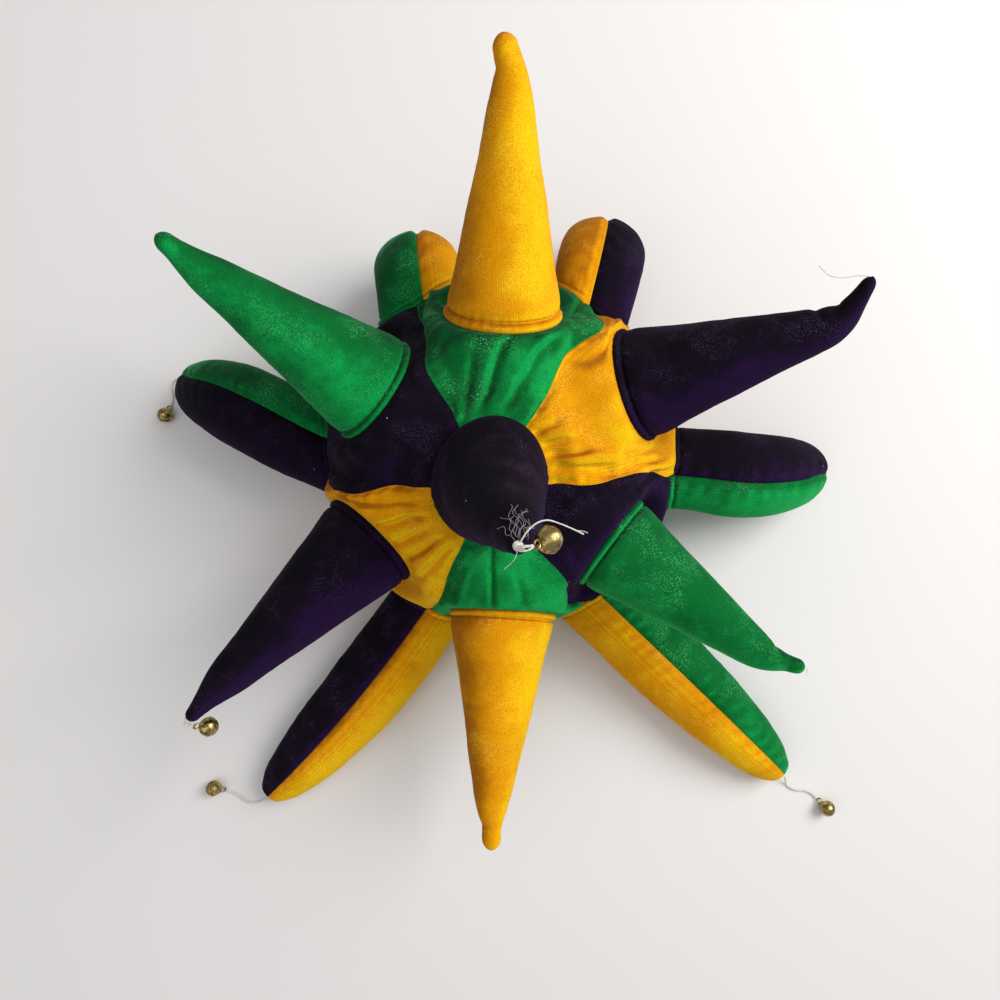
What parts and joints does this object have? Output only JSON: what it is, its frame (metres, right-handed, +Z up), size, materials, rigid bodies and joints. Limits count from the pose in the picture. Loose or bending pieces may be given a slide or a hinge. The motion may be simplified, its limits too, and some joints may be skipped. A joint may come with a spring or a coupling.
{
  "type": "jester hat",
  "caption": "Stuffed velvet jester hat with a panelled crown, rolled-edge horns, floppy seamed points round the hem and small jingle bells on threads.",
  "frame": {"origin": "middle of the hat's footprint on the surface it lies on, with the loose threads and their bells left out", "axes": "+Z up from the surface, +Y towards the back of the hat, +X to the right as seen from above with the back uppermost"},
  "size_m": [0.4394, 0.3984, 0.2442],
  "materials": {
    "velvet_green": "crushed velvet, pale sheen at the edges",
    "velvet_gold": "velvet, warm sheen at the edges",
    "velvet_purple": "very dark velvet",
    "bell_brass": "tarnished",
    "thread_white": "matt cotton"
  },
  "bodies": {
    "root": {"crown_panel_gold_back": "velvet_gold", "crown_panel_purple_right": "velvet_purple", "crown_panel_green_front": "velvet_green", "crown_panel_gold_left": "velvet_gold", "crown_panel_purple_left": "velvet_purple", "crown_panel_green_back": "velvet_green", "horn_gold_back": "velvet_gold", "horn_purple_right": "velvet_purple", "horn_green_right": "velvet_green", "horn_gold_front": "velvet_gold", "horn_purple_left": "velvet_purple", "horn_green_left": "velvet_green", "top_horn_purple": "velvet_purple", "bell_tie_top": "thread_white", "bell_top": "bell_brass", "bell_tie_left": "thread_white", "bell_left": "bell_brass", "point_back_right_gold": "velvet_gold", "point_back_right_purple": "velvet_purple", "point_right_purple": "velvet_purple", "point_right_green": "velvet_green", "point_front_right_green": "velvet_green", "point_front_right_gold": "velvet_gold", "point_front_left_gold": "velvet_gold", "point_front_left_purple": "velvet_purple", "point_left_purple": "velvet_purple", "point_left_green": "velvet_green", "point_back_left_green": "velvet_green", "point_back_left_gold": "velvet_gold", "bell_thread_right": "thread_white", "bell_loose_right": "bell_brass", "bell_thread_left": "thread_white", "bell_loose_left": "bell_brass", "bell_thread_side": "thread_white", "bell_loose_side": "bell_brass"}
  },
  "joints": []
}
